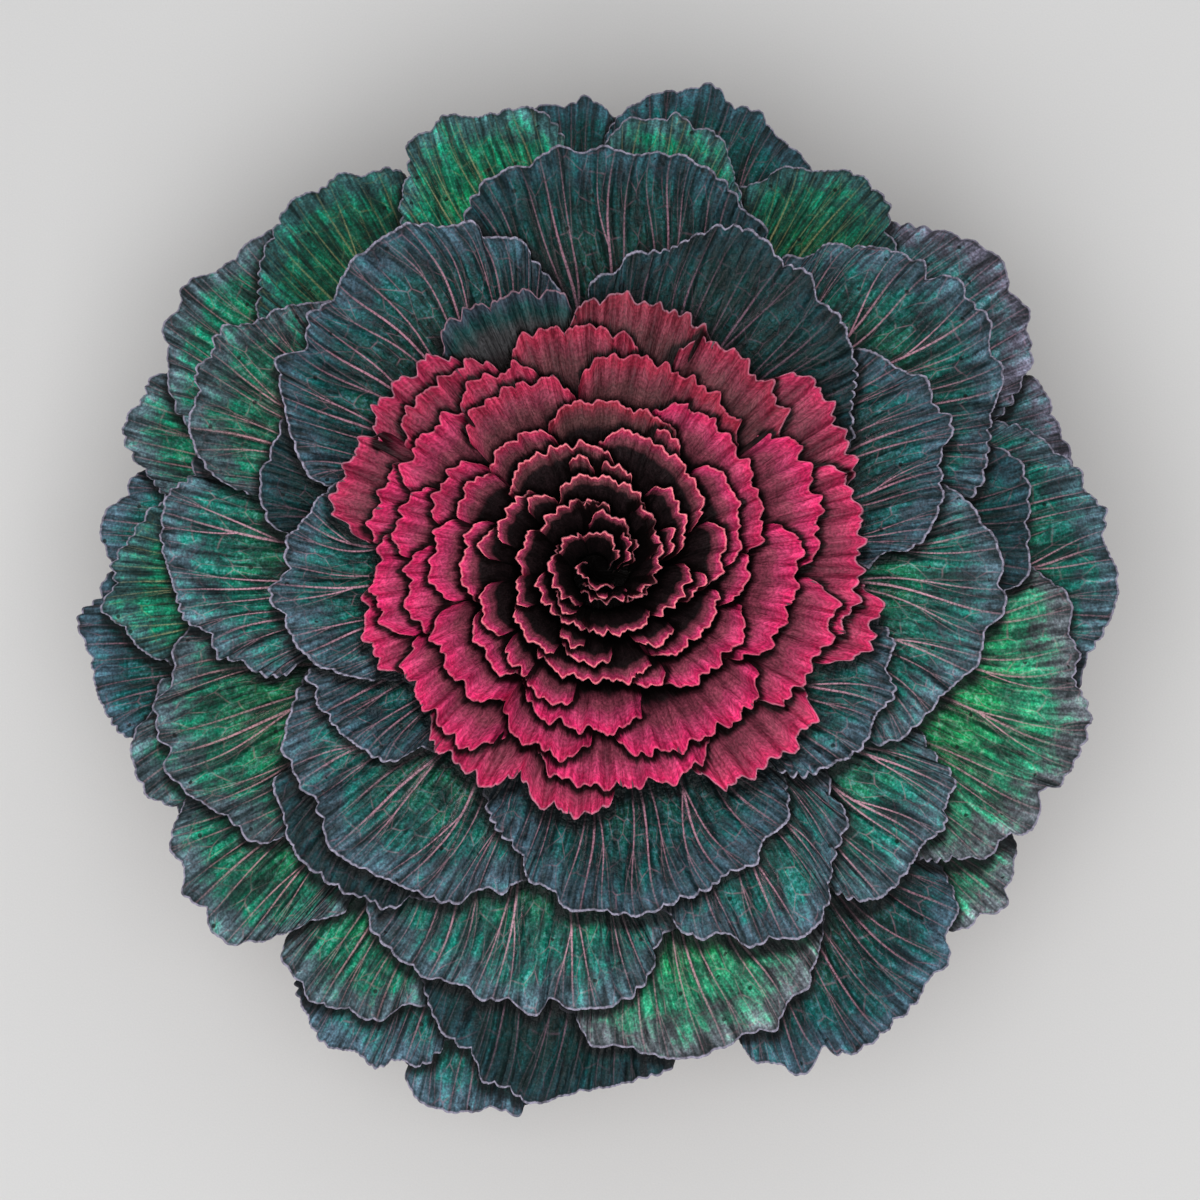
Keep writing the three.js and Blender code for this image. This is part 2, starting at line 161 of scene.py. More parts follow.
# Leaf rings: first level, and the leaves, highest first, by the bearing of the tip in
# degrees, its reach from the stem's axis, half width and tone
RINGS = {
    "inner": (0, [
        (183, 102, 34, "slate"), (209, 100, 26, "dusk"), (331, 103, 32, "slate"),
        (59, 114, 48, "night"), (281, 111, 48, "dusk"), (24, 121, 34, "dusk"),
        (229, 121, 52, "slate"), (130, 126, 50, "dusk"), (355, 128, 46, "sea"),
    ]),
    "middle": (2, [
        (161, 114, 26, "night"), (87, 140, 50, "dark"), (298, 131, 34, "slate"),
        (227, 132, 36, "night"), (150, 146, 34, "green"), (173, 142, 42, "sea"),
        (319, 139, 32, "sea"), (36, 150, 48, "slate"), (11, 143, 38, "dark"),
        (255, 142, 53, "sea"), (202, 151, 42, "green"), (284, 156, 46, "leafy"),
    ]),
    "outer": (5, [
        (80, 160, 26, "vivid"), (59, 165, 29, "moss"), (105, 169, 30, "vivid"),
        (125, 167, 41, "moss"), (342, 165, 52, "leafy"), (178, 162, 28, "vivid"),
        (266, 165, 50, "night"), (4, 171, 47, "sea"), (217, 167, 33, "green"),
        (236, 162, 30, "green"), (141, 175, 38, "green"), (40, 175, 41, "purple"),
        (202, 162, 30, "green"), (76, 180, 38, "dark"), (186, 172, 37, "dusk"),
        (241, 172, 30, "slate"), (155, 169, 32, "green"), (303, 172, 48, "dusk"),
        (92, 174, 32, "dark"), (170, 168, 28, "slate"), (255, 175, 30, "slate"),
        (323, 166, 28, "leafy"), (23, 167, 32, "purple"),
    ]),
}

# Colours of a leaf as seen, in 8-bit sRGB: margin, middle, base, veins. The dark and
# night tones also hold painted shade, for leaves that lie in shadow
TONES = {
    "slate": ((76, 102, 118), (2, 82, 76), (0, 72, 50), (208, 150, 170)),
    "dusk": ((66, 92, 108), (0, 63, 62), (0, 50, 40), (192, 134, 154)),
    "sea": ((84, 110, 124), (4, 97, 86), (0, 84, 56), (214, 158, 176)),
    "dark": ((44, 76, 88), (0, 56, 55), (0, 43, 35), (160, 114, 132)),
    "night": ((26, 54, 62), (0, 40, 40), (0, 28, 26), (124, 90, 108)),
    "green": ((84, 104, 114), (0, 97, 74), (0, 90, 54), (206, 152, 162)),
    "moss": ((46, 86, 88), (0, 88, 66), (0, 78, 46), (156, 154, 108)),
    "vivid": ((66, 108, 112), (0, 114, 84), (0, 108, 62), (178, 172, 128)),
    "leafy": ((114, 122, 130), (34, 136, 102), (0, 124, 70), (210, 156, 170)),
    "purple": ((106, 104, 122), (44, 90, 95), (8, 88, 70), (200, 148, 170)),
}

# Painted light: how much lighter a leaf is painted for each level below the first one,
# where other leaves shade it, and on the far side, away from the key light
PAINTED_LIGHT_BELOW = 0.16
PAINTED_LIGHT_FAR = 0.5
PAINTED_LIGHT_FROM = 5

# How far from a margin the shade on the leaf under it is known
COVER_REACH = 12

# Folds in a margin: leaf, bearing in degrees, depth, width
FOLDS = [
    ("inner_leaf_08", 144, 5, 3.2), ("inner_leaf_02", 203, 4, 2.6),
    ("inner_leaf_07", 218, 5, 3), ("middle_leaf_08", 42.5, 5, 3),
    ("middle_leaf_11", 200.5, 6, 3.2), ("middle_leaf_10", 264, 5, 3),
    ("outer_leaf_05", 335, 4, 3), ("outer_leaf_18", 296, 5, 3),
]

# Red head: bearing in degrees, half span in degrees, radius of the margin
RED_LEAVES = [
    (30, 17, 91), (78, 19, 86), (111, 17, 92), (138, 15, 87), (161, 13, 88),
    (198, 14, 79), (236, 14, 82), (262, 12, 84), (311, 17, 88), (345, 10, 93),
    (0, 24, 86), (51, 19, 80), (96, 19, 76), (133, 17, 78), (165, 14, 74),
    (187, 16, 73), (223, 19, 75), (277, 25, 76), (335, 19, 79), (16, 21, 74),
    (66, 29, 66), (120, 14, 69), (146, 16, 69), (169, 12, 66), (191, 15, 63),
    (253, 15, 66), (300, 25, 69), (347, 24, 65), (118, 20, 62), (34, 34, 57),
    (155, 14, 56), (180, 16, 54), (217, 19, 61), (263, 23, 57), (80, 30, 50),
    (18, 24, 48), (125, 16, 47), (153, 13, 48), (221, 17, 49), (249, 12, 50),
    (318, 23, 53), (350, 12, 49), (54, 35, 41), (112, 32, 38), (181, 20, 44),
    (207, 14, 42), (266, 32, 41), (321, 24, 42), (0, 18, 41), (28, 24, 31),
    (152, 20, 33), (228, 20, 35), (262, 16, 35), (334, 22, 30), (82, 38, 26),
    (172, 20, 25), (227, 34, 23), (285, 30, 26), (27, 30, 21), (120, 38, 20),
    (350, 46, 20), (48, 50, 14), (200, 44, 16), (278, 36, 14), (60, 60, 8),
    (240, 60, 8),
]

# Small leaves that curl in the heart, too fine for the solid
RED_CURLS = [
    (20, 30, 11), (150, 28, 12), (262, 26, 11), (90, 20, 18), (318, 20, 18),
    (232, 16, 20), (12, 13, 25), (76, 12, 30), (136, 11, 28), (204, 12, 29),
    (252, 10, 30), (306, 12, 35), (342, 10, 35), (58, 9, 46), (100, 8, 33),
    (172, 9, 38), (292, 9, 46), (232, 9, 45),
]

# All red leaves, numbered, and the one that stayed blue-green
RED_ALL = [(*leaf, index) for index, leaf in enumerate(RED_LEAVES + RED_CURLS)]
TEAL_LEAF = 2

# Pieces of the head: first leaf, and the one after the last
RED_GROUPS = [(0, 16), (16, 34), (34, 84)]

# Radius beyond which red leaves shade green ones, and how much further out than its
# own margin a red leaf shades others
RED_OUTSIDE = 70
RED_SHADES = 34

# Core that carries the red leaves: a shallow dish on the stem, ribbed underneath
CORE_CLEARANCE = 3
CORE_RADIUS = 48
CORE_DEPTH = 9
CORE_EDGE = 3
CORE_SEAT = 24
CORE_STEP = 6
CORE_SIDES = 288
CORE_RIBS = 36
CORE_RIB_DEPTH = 2

# Dome of the red margins, highest at its crest and lower in the heart
CREST = 288
CREST_RADIUS = 52
OUTER_FALL = 0.0065
HEART_FALL = 0.0055

# Form of a red leaf, which rises from the core and flares, with lower sides
RED_SCALE = 0.965
RED_SPREAD = 1.12
ROOT_SHARE = 0.5
ROOT_DEPTH = 3
FLARE_OUT = 0.3
FLARE_UP = 0.8
SIDE_DROP = 0.3
SIDE_SINK = 0.24
SIDE_POWER = 5
RED_LEAN = 2.2
RED_BLADE = 0.5
RED_PHASE = 1.9

# Frill of a red margin: folds, pleats, waves, teeth, and curls in the heart
FRILL_OUT, FRILL_UP, FRILL_PITCH = 1.25, -0.9, 11
PLEAT, PLEAT_PITCH, PLEAT_MEAN = 2.1, 13.5, 0.3
WAVE_OUT, WAVE_OUT_PITCH = 0.8, 5.2
WAVE_UP, WAVE_UP_PITCH = 1.4, 6.4
TOOTH, TOOTH_PITCH, TOOTH_MEAN = 0.75, 3.3, 0.6
SMALL_TOOTH, SMALL_TOOTH_PITCH = 0.25, 1.5
TOOTH_UP, TOOTH_UP_PITCH = 0.5, 2.6
CURL, CURL_PITCH = 0.9, 6.1
SMALL_CURL, SMALL_CURL_PITCH = 0.35, 2.3

# Width of a segment at a red margin, and the rows: share of the segments, and places
RED_SEGMENT = 0.46
RED_ROWS = {
    0.25: (0, 0.25, 0.45), 0.5: (0.6, 0.7),
    1: (0.78, 0.84, 0.885, 0.92, 0.948, 0.97, 0.986, 1),
}

# View in metres, and the lens and sensor in millimetres
VIEW_ELEVATION = radians(83)
VIEW_DISTANCE = 2.2
VIEW_TARGET = Vector((0.0007, -0.0078, 0.235))
CLIP_END = 100
LENS, SENSOR = 205.2, 36

# Lights: azimuth and elevation in degrees (90 is the far side), distance and size in
# metres, power in watts
LIGHTS = {
    "key": (262, 74, 2.2, 1.1, 35),
    "overhead": (90, 84, 3.4, 3, 29),
    "fill": (300, 30, 3, 2, 3),
}
WORLD_LIGHT = 0.36
FLOOR_SIZE = 12
FLOOR_GAP = 0.0003


# Small mathematics

def smoothstep(low, high, x):
    t = np.clip((x - low) / (high - low), 0, 1)
    return t * t * (3 - 2 * t)


def quadratic(a, b, c, t):
    return (1 - t) ** 2 * a + 2 * t * (1 - t) * b + t * t * c


def waves(x, pitch, start):
    """A sine wave whose pitch drifts along x."""
    drift = 0.9 * sin(x / (2.3 * pitch) + start) + 0.6 * sin(x / (1.1 * pitch) + 3 * start)
    return sin(TAU * x / pitch + drift + 2 * start)


def teeth(x, pitch, mean):
    """Rounded teeth with sharp notches between them, less their mean."""
    return abs(sin(pi * x / pitch)) - mean


def wrapped(turn):
    """The turn as an angle from -pi to pi."""
    return arctan2(sin(turn), cos(turn))


def linear(colour):
    """An 8-bit sRGB colour as linear values with alpha."""
    values = np.array(colour) / 255
    bright = ((values + 0.055) / 1.055) ** 2.4
    return (*np.where(values <= 0.04045, values / 12.92, bright), 1)


# Blades

def joined(*triples):
    """Triangles whose corners are in the arrays of each triple."""
    return np.vstack([np.stack(np.broadcast_arrays(*triple), 1) for triple in triples])


def strip(a, segments_a, b, segments_b):
    """Triangles between two rows that start at vertex a and b."""
    i = np.arange(segments_a)
    a = a + i
    if segments_b == 2 * segments_a:
        b = b + 2 * i
        return joined((a, b, b + 1), (a, b + 1, a + 1), (a + 1, b + 1, b + 2))
    b = b + i
    return joined((a, b + 1, a + 1), (a, b, b + 1))


def blade_grid(rows, segments=1):
    """Places u, v of a blade's vertices, its face's triangles and its rim's loop."""
    rows = [(v, round(share * segments)) for share, places in rows.items() for v in places]
    places, counts = zip(*rows)
    starts = np.cumsum([0, *counts[:-1]]) + np.arange(len(rows))
    ends = starts + counts
    u = np.hstack([np.linspace(-1, 1, count + 1) for count in counts])
    v = np.repeat(places, ends - starts + 1)
    pairs = zip(starts, counts, starts[1:], counts[1:])
    face = np.vstack([strip(*pair) for pair in pairs])
    root, margin = range(ends[0]), range(ends[-1], starts[-1], -1)
    return u, v, face, np.array([*root, *ends[:-1], *margin, *starts[:0:-1]])


def shown(name, data):
    """A new object in the scene."""
    thing = bpy.data.objects.new(name, data)
    bpy.context.scene.collection.objects.link(thing)
    return thing


class Soup:
    """Meshes that become one piece, with named values for each vertex."""

    def __init__(self):
        self.points, self.triangles, self.smooth, self.values = [], [], [], {}
        self.count = 0

    def add(self, points, triangles, smooth, **values):
        self.points.append(points)
        self.triangles.append(triangles + self.count)
        self.smooth.append(np.broadcast_to(smooth, len(triangles)))
        for name, value in values.items():
            self.values.setdefault(name, []).append(np.broadcast_to(value, len(points)))
        self.count += len(points)
        return self

    def add_blade(self, upper, lower, face, rim, **values):
        """Adds a closed blade with a sharp rim. "under" is 1 on its lower side."""
        count, after = len(upper), np.roll(rim, -1)
        walls = joined((rim, after, rim + count), (after, after + count, rim + count))
        triangles = np.vstack([face, face[:, ::-1] + count, walls])
        for name, value in values.items():
            values[name] = np.tile(np.broadcast_to(value, count), 2)
        values["under"] = np.repeat((0, 1), count)
        smooth = np.arange(len(triangles)) < 2 * len(face)
        self.add(np.vstack([upper, lower]), triangles, smooth, **values)

    def piece(self, name, material, slot, *nodes):
        mesh = bpy.data.meshes.new(name)
        mesh.from_pydata(np.vstack(self.points) * MM, [], np.vstack(self.triangles))
        mesh.polygons.foreach_set("use_smooth", np.hstack(self.smooth))
        for key, parts in self.values.items():
            attribute = mesh.attributes.new(key, "FLOAT", "POINT")
            attribute.data.foreach_set("value", np.hstack(parts).astype(np.float32))
        mesh.validate()
        mesh.materials.append(material)
        piece = shown(name, mesh)
        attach(piece, "root")
        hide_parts(*nodes)
        return piece


# Node materials

class Shader:
    """A Principled material with the colour so far, and short ways to add nodes."""

    def __init__(self, name, colour=None):
        self.colour = colour
        self.material = bpy.data.materials.new(name)
        self.material.use_nodes = True
        self.tree = self.material.node_tree

    def node(self, kind, inputs=(), output=0, **settings):
        """One output of a new node."""
        node = self.tree.nodes.new("ShaderNode" + kind)
        for key, value in settings.items():
            setattr(node, key, value)
        self.feed(node, inputs)
        return node.outputs[output]

    def feed(self, node, inputs):
        """Links or sets a node's inputs. Three numbers are an 8-bit sRGB colour."""
        for key, value in dict(inputs).items():
            socket = node.inputs[key]
            if isinstance(value, bpy.types.NodeSocket):
                self.tree.links.new(value, socket)
            elif isinstance(value, tuple) and len(value) == 3:
                socket.default_value = linear(value)
            else:
                socket.default_value = value

    def math(self, operation, *values):
        return self.node("Math", enumerate(values), operation=operation)

    def chain(self, operation, first, *others):
        for other in others:
            first = self.math(operation, first, other)
        return first

    def times(self, *values):
        return self.chain("MULTIPLY", *values)

    def plus(self, *values):
        return self.chain("ADD", *values)

    def minus(self, a, b):
        return self.math("SUBTRACT", a, b)

    def ramp(self, value, slope, start):
        """start, plus slope times the value."""
        return self.math("MULTIPLY_ADD", value, slope, start)

    def blend(self, share, a, b, mode="MIX"):
        inputs = {0: share, 6: a, 7: b}
        return self.node("Mix", inputs, 2, data_type="RGBA", blend_type=mode)

    def paint(self, share, colour, mode="MIX"):
        """Blends a colour over the one so far."""
        self.colour = self.blend(share, self.colour, colour, mode)

    def darken(self, *shades):
        """Multiplies the colour so far by the shades."""
        shade = self.times(*shades)
        self.paint(1, self.vector(shade, shade, shade), "MULTIPLY")

    def fade(self, low, high, value, start=0, end=1):
        """start below low, end above high, and a smooth step between."""
        inputs = {0: value, 1: low, 2: high, 3: start, 4: end}
        return self.node("MapRange", inputs, interpolation_type="SMOOTHSTEP")

    def fade_out(self, start, reach, value):
        """0 up to start, then a fast rise that levels out at 1."""
        past = self.math("MAXIMUM", self.minus(value, start), 0)
        return self.minus(1, self.math("EXPONENT", self.times(past, -1 / reach)))

    def values(self, names):
        """The named values of a mesh's vertices."""
        return [self.node("Attribute", {}, "Fac", attribute_name=name) for name in names.split()]

    def place(self):
        return self.node("TexCoord", output="Object")

    def vector(self, x, y, z=0):
        return self.node("CombineXYZ", {0: x, 1: y, 2: z})

    def noise(self, place, size, detail=2, roughness=0.5, dimensions="3D"):
        inputs = {"Vector": place, "Scale": 1 / size, "Detail": detail, "Roughness": roughness}
        return self.node("TexNoise", inputs, noise_dimensions=dimensions)

    def flat_noise(self, place, size, detail=1, roughness=0.5):
        return self.noise(place, size, detail, roughness, "2D")

    def cells(self, place, size, feature="F1", dimensions="3D"):
        """Distance to the nearest of scattered points, or to their cells' edges."""
        inputs = {"Vector": place, "Scale": 1 / size}
        settings = {"feature": feature, "voronoi_dimensions": dimensions}
        return self.node("TexVoronoi", inputs, "Distance", **settings)

    def chance(self, x, y):
        """A random number from 0 to 1 for each pair of values."""
        inputs = {"Vector": self.vector(x, y)}
        return self.node("TexWhiteNoise", inputs, "Value", noise_dimensions="2D")

    def dusk(self, dark, strength, reach, inside):
        """Contact shade on a leaf's upper side. It fades out over the two distances of
        reach from the leaves over it, and over those of inside it halves under them."""
        cover, under = self.values("cover under")
        outside = self.fade(*reach, cover, strength, 0)
        hidden = self.fade(*inside, cover, 0.5, 1)
        self.paint(self.times(outside, hidden, self.minus(1, under)), dark)

    def finish(self, roughness, height, shine=0.5):
        """The material, with its roughness, shine, and relief in millimetres."""
        bump = self.node("Bump", {"Distance": MM, "Height": height})
        inputs = {"Base Color": self.colour, "Roughness": roughness, "Normal": bump}
        skin = self.tree.nodes["Principled BSDF"]
        self.feed(skin, {**inputs, "Specular IOR Level": shine})
        return self.material


def vein_lines(s, fan, width, v, seed):
    """Veins that fan out from a leaf's base and fork twice: the lines' strength, and
    the distance to the nearest one in millimetres."""
    vein = s.math("ROUND", fan)
    luck = s.chance(vein, seed)
    bend = s.math("SINE", s.ramp(v, 9, s.times(luck, 40)))
    off = s.plus(s.minus(fan, vein), s.times(bend, 0.09))
    side = s.math("SIGN", off)
    away = s.math("ABSOLUTE", off)
    key = s.ramp(side, 0.21, vein)
    luck_side = s.chance(key, seed)
    luck_fork = s.chance(s.plus(key, 40), seed)

    spread = s.fade_out(s.ramp(luck_side, 0.42, 0.42), 0.13, v)
    branch = s.minus(away, s.times(spread, 0.31))
    spread = s.fade_out(s.ramp(luck_fork, 0.3, 0.7), 0.1, v)
    twig = s.minus(s.math("ABSOLUTE", branch), s.times(spread, 0.15))

    # Each kind of line: offset, half width at the root and at the margin, strength
    kinds = [
        (away, 0.72, 0.28, s.ramp(luck, 0.25, 0.75)),
        (branch, 0.5, 0.22, s.ramp(luck_side, 0.4, 0.5)),
        (twig, 0.34, 0.18, s.ramp(luck_fork, 0.6, 0)),
    ]
    strengths, distances = [], []
    for offset, thick, thin, power in kinds:
        distance = s.times(s.math("ABSOLUTE", offset), width)
        half = s.ramp(v, thin - thick, thick)
        line = s.fade(s.times(half, 0.5), s.times(half, 1.3), distance, 1, 0)
        strengths.append(s.times(line, power))
        distances.append(distance)
    strength = s.times(s.chain("MAXIMUM", *strengths), s.fade(0.82, 1, v, 1, 0.25))
    return strength, s.chain("MINIMUM", *distances)


def leaf_material(tone):
    """Skin of a green leaf. Lengths along and across the blade are millimetres."""
    margin, middle, base, vein = TONES[tone]
    s = Shader(f"leaf_{tone}", margin)
    fan, width, v, edge, seed, gain, under = s.values("fan width v edge seed gain under")
    away = s.vector(seed, s.times(seed, 0.61))
    place = s.node("VectorMath", {0: s.place(), 1: away}, operation="ADD")
    lines, nearest = vein_lines(s, fan, width, v, seed)

    blotches = s.flat_noise(place, 9 * MM, 2, 0.6)
    mottles = s.flat_noise(place, 1.7 * MM, 2, 0.6)
    grain = s.flat_noise(place, 0.8 * MM)
    across = s.ramp(fan, 4, s.times(seed, 31))
    streaks = s.flat_noise(s.vector(across, s.times(v, 5)), 0.6, 2, 0.65)
    net = s.cells(s.vector(across, s.times(v, 16)), 1, "DISTANCE_TO_EDGE", "2D")
    veinlets = s.fade(0.01, 0.05, net, 1, 0)

    inward = s.plus(
        edge, s.ramp(blotches, 30, -15), s.ramp(streaks, 18, -9),
        s.ramp(mottles, 16, -8),
    )
    s.paint(s.fade(2, 16, inward), middle)
    s.paint(s.fade(14, 38, inward), base)
    s.paint(s.fade(0.45, 0.7, mottles, 0, 0.3), margin)
    # Painted light lifts low and far-side leaves (first factor); the others vary the tone
    s.darken(
        gain, s.fade(0.3, 0.7, streaks, 0.3, 1.85),
        s.fade(0.32, 0.68, mottles, 0.72, 1.3), s.fade(0.3, 0.7, grain, 0.72, 1.28),
        s.fade(0.3, 0.7, blotches, 0.5, 1.4),
    )

    s.paint(s.times(veinlets, s.fade(0.4, 0.62, blotches, 0.04, 0.24)), vein)
    # Painted shade: dark flanks beside the veins, where the blade dips into them
    s.paint(s.fade(0.4, 2, nearest, 0.55, 0), (0, 0.012, 0.01, 1))
    lines = s.times(lines, s.fade(0.3, 0.55, grain, 0.45, 1))
    s.paint(lines, vein)

    spot = s.fade(0.035, 0.06, s.cells(place, 15 * MM, "F1", "2D"), 0.85, 0)
    spot = s.times(spot, s.math("GREATER_THAN", blotches, 0.52))
    s.paint(spot, (0.002, 0.004, 0.004, 1))
    s.paint(s.fade(0.8, 2.4, edge, 0.4, 0), (0.004, 0.008, 0.012, 1))
    lip = s.times(s.fade(0.35, 0.95, edge, 0.95, 0), s.fade(0.3, 0.6, mottles, 0.4, 1))
    s.paint(lip, (168, 162, 184))

    back = s.blend(s.fade(0.35, 0.65, mottles), (84, 112, 106), (106, 132, 122))
    back = s.blend(s.times(lines, 0.8), back, (176, 176, 168))
    s.paint(under, back)
    stalk = s.blend(s.fade(0.3, 0.7, streaks), (132, 150, 116), (150, 122, 140))
    s.paint(s.fade(0.12, 0.4, v, 1, 0), stalk)
    s.dusk((0, 0.001, 0.002, 1), 0.93, (0.2, 3.2), (-12, -1.5))

    height = s.plus(
        s.fade(0, 2.4, nearest), streaks, s.times(mottles, 0.7), s.times(blotches, 1.6)
    )
    return s.finish(s.ramp(mottles, 0.2, 0.46), height, 0.22)


# Cover

def cover_distance(points, outlines):
    """How far each point lies outside the leaves over it, seen from above, and less
    than 0 where one of them hides it. At most COVER_REACH."""
    nearest = np.full(len(points), COVER_REACH)
    for outline in outlines:
        corners = outline[:, :2]
        low, high = corners.min(0) - COVER_REACH, corners.max(0) + COVER_REACH
        held = np.nonzero(np.all((points[:, :2] > low) & (points[:, :2] < high), 1))[0]
        x, y = points[held, 0:1], points[held, 1:2]
        (ax, ay), (bx, by) = corners.T, np.roll(corners, -1, 0).T
        distance = sqrt(((x - ax) ** 2 + (y - ay) ** 2).min(1))
        rise = np.where(ay == by, 1, by - ay)
        crossed = (ay > y) != (by > y)
        crossed &= x < ax + (y - ay) * (bx - ax) / rise
        inside = crossed.sum(1) % 2 == 1
        nearest[held] = np.minimum(nearest[held], np.where(inside, -distance, distance))
    return nearest


# Green leaves

def swell(x, y):
    bearing = arctan2(y, x)
    out = smoothstep(SWELL_FROM, SWELL_FULL, hypot(x, y))
    return sum(out * height * sin(count * bearing + start) for height, count, start in SWELLS)


def bowl_height(reach, level):
    rise = (LEVELS - 1 - level) * LEVEL_STEP
    share = np.maximum(0, rise / ((LEVELS - 1) * LEVEL_STEP))
    slope = (BOWL_SLOPE + OUTER_DROOP) * share**SLOPE_POWER - OUTER_DROOP
    sag = SAG * (1 - SAG_LIFTED * share * share)
    out = reach - STEM_RADIUS
    return LOWEST_LEAF + rise + slope * out - sag * out * out


class Leaf:
    """Where one green leaf lies, its form and its vein fan. On its blade, u runs from
    side to side, from -1 to 1, and v from the root, 0, to the margin, 1."""

    def __init__(self, name, index, bearing, reach, half, tone):
        self.name, self.tone, self.half = name, tone, half
        self.bearing = radians(bearing)
        self.length = LEAF_LENGTH + LEAF_LENGTH_SHARE * half
        self.middle = reach - self.length
        self.phase = LEAF_PHASE * index
        self.level = 0
        self.arc = LEAF_FAN * (self.length + half) / 2
        self.veins = VEINS + VEINS_MORE * half
        self.folds = []

    def spread(self):
        root = sqrt(self.middle**2 - self.length**2)
        return LOBE_ALLOWANCE * atan(self.half / root)

    def overlaps(self, other):
        between = abs(wrapped(self.bearing - other.bearing))
        roots = 2 * atan(LEAF_BASE_HALF / STEM_RADIUS)
        return between < max(self.spread() + other.spread(), roots) + CLEAR_ANGLE

    def plan(self, u, v, fine=True):
        """Places along and across the leaf's axis."""
        angle = u * LEAF_FAN
        lobes = sum(
            share * sin(count * angle + turn * self.phase) for share, count, turn in LOBES
        )
        size = 1 + (1 - u * u) * lobes
        tip = self.middle + self.length * cos(angle) * size
        out = quadratic(STEM_RADIUS - 1, LEAF_NECK_SHARE * self.middle, tip, v)
        side_tip = self.half * sin(angle) * size
        side = quadratic(u * LEAF_BASE_HALF, u * LEAF_NECK_HALF, side_tip, v)
        if fine:
            outward = self.scallops(u * self.arc, self.phase) * v**14
            outward = outward - self.fold(u) * v**5
            across = self.scallops(v * self.middle, self.phase + np.sign(u)) * abs(u) ** 12
            across = across * smoothstep(0.25, 0.5, v) * (1 - v**6)
            out = out + outward * cos(angle)
            side = side + outward * sin(angle) + across * np.sign(u)
        return out, side

    def scallops(self, along, start):
        """Uneven rounded teeth, small ones on them, and the lobes they sit on."""
        pitch = SCALLOP_PITCH * (0.85 + 0.25 * sin(5 * self.phase))
        drift = 1.7 * sin(along / 7.1 + start) + 0.8 * sin(along / 3.3 + 2 * start)
        size = 0.8 + 0.75 * sin(along / 9.7 + 3 * start) * sin(along / 5.3 + start)
        tooth = size * teeth(along + drift, pitch, SCALLOP_MEAN)
        small = teeth(along - drift, SMALL_SCALLOP_SHARE * pitch, SCALLOP_MEAN)
        lobe = sin(along / 4.1 + 2 * sin(along / 11 + start) + 4 * start)
        return SCALLOP_DEPTH * (tooth + SMALL_SCALLOP * small + SCALLOP_LOBE * lobe)

    def fold(self, u):
        """How far the margin's folds draw it in."""
        return sum(
            depth * exp(-(((u - at) * self.arc / width) ** 2))
            for at, depth, width in self.folds
        )

    def add_fold(self, bearing, depth, width):
        u = np.linspace(-1, 1, 400)
        out, side = self.plan(u, np.ones(400), False)
        away = wrapped(self.bearing + arctan2(side, out) - radians(bearing))
        self.folds.append((u[np.argmin(abs(away))], depth, width))

    def surface(self, u, v, fine=True):
        out, side = self.plan(u, v, fine)
        x = out * cos(self.bearing) - side * sin(self.bearing)
        y = out * sin(self.bearing) + side * cos(self.bearing)
        level = self.level + MARGIN_DROP * v**3
        ruffle = RUFFLE * v**4 * sin(RUFFLE_WAVES * u * LEAF_FAN + self.phase)
        z = bowl_height(hypot(x, y), level) + swell(x, y) + ruffle
        if fine:
            along = u * self.arc
            z = z + LONG_FRILL * v**6 * waves(along, LONG_FRILL_PITCH, self.phase)
            z = z + SHORT_FRILL * v**10 * waves(along, SHORT_FRILL_PITCH, 2 * self.phase)
            z = z - FOLD_DROP * self.fold(u) * v**5
        return np.stack([x, y, z], 1)

    def gain(self):
        """Painted light: how much lighter the leaf is painted than its tone."""
        below = self.level - PAINTED_LIGHT_FROM
        if below < 0:
            return 1
        return 1 + PAINTED_LIGHT_BELOW * below + PAINTED_LIGHT_FAR * max(0, sin(self.bearing))

    def outline(self):
        """Points round the leaf, along both sides and the margin."""
        side = np.linspace(0, 0.97, 30)
        u = np.hstack([np.full(30, -1), np.linspace(-1, 1, 160), np.full(30, 1)])
        v = np.hstack([side, np.ones(160), side[::-1]])
        return self.surface(u, v)

    def mesh(self, soup, grid, outlines):
        u, v, face, rim = grid
        right, left = (self.surface(u + step, v, False) for step in (SLOPE_STEP, -SLOPE_STEP))
        across = np.linalg.norm(right - left, axis=1) / (2 * SLOPE_STEP)
        here, nearer = (self.surface(u, v - step, False) for step in (0, SLOPE_STEP))
        along = np.linalg.norm(here - nearer, axis=1) / SLOPE_STEP
        edge = np.minimum((1 - v) * along, (1 - abs(u)) * across)

        # The vein fan numbers the main veins across the blade
        drift = 0.05 * sin(6 * v + self.phase)
        drift = drift + 0.022 * sin(15 * v + 2 * self.phase + 4 * u)
        fan = self.veins * (u * (0.72 + 0.28 * v) + drift * (0.3 + 0.7 * v))
        off = abs(fan - np.round(fan))
        quilt = smoothstep(0, 0.32, off) * smoothstep(0.2, 0.6, v) * (1 - 0.6 * v)

        upper = self.surface(u, v)
        upper[:, 2] += QUILTING * quilt
        keel = KEEL * (1 - KEEL_SHOULDER * u * u) * (1 - v) ** KEEL_FADE
        lower = upper.copy()
        lower[:, 2] -= LEAF_BLADE + keel
        soup.add_blade(
            upper, lower, face, rim, fan=fan, width=across / self.veins, v=v, edge=edge,
            cover=cover_distance(upper, outlines), seed=self.phase, gain=self.gain(),
        )


def stack_leaves():
    """Each leaf lies one level under the lowest of the leaves over it."""
    placed = []
    for ring, (first_level, leaves) in RINGS.items():
        for number, values in enumerate(leaves, 1):
            leaf = Leaf(f"{ring}_leaf_{number:02d}", len(placed), *values)
            over = [other.level + 1 for other in placed if leaf.overlaps(other)]
            leaf.level = max([first_level, *over])
            placed.append(leaf)
    return placed


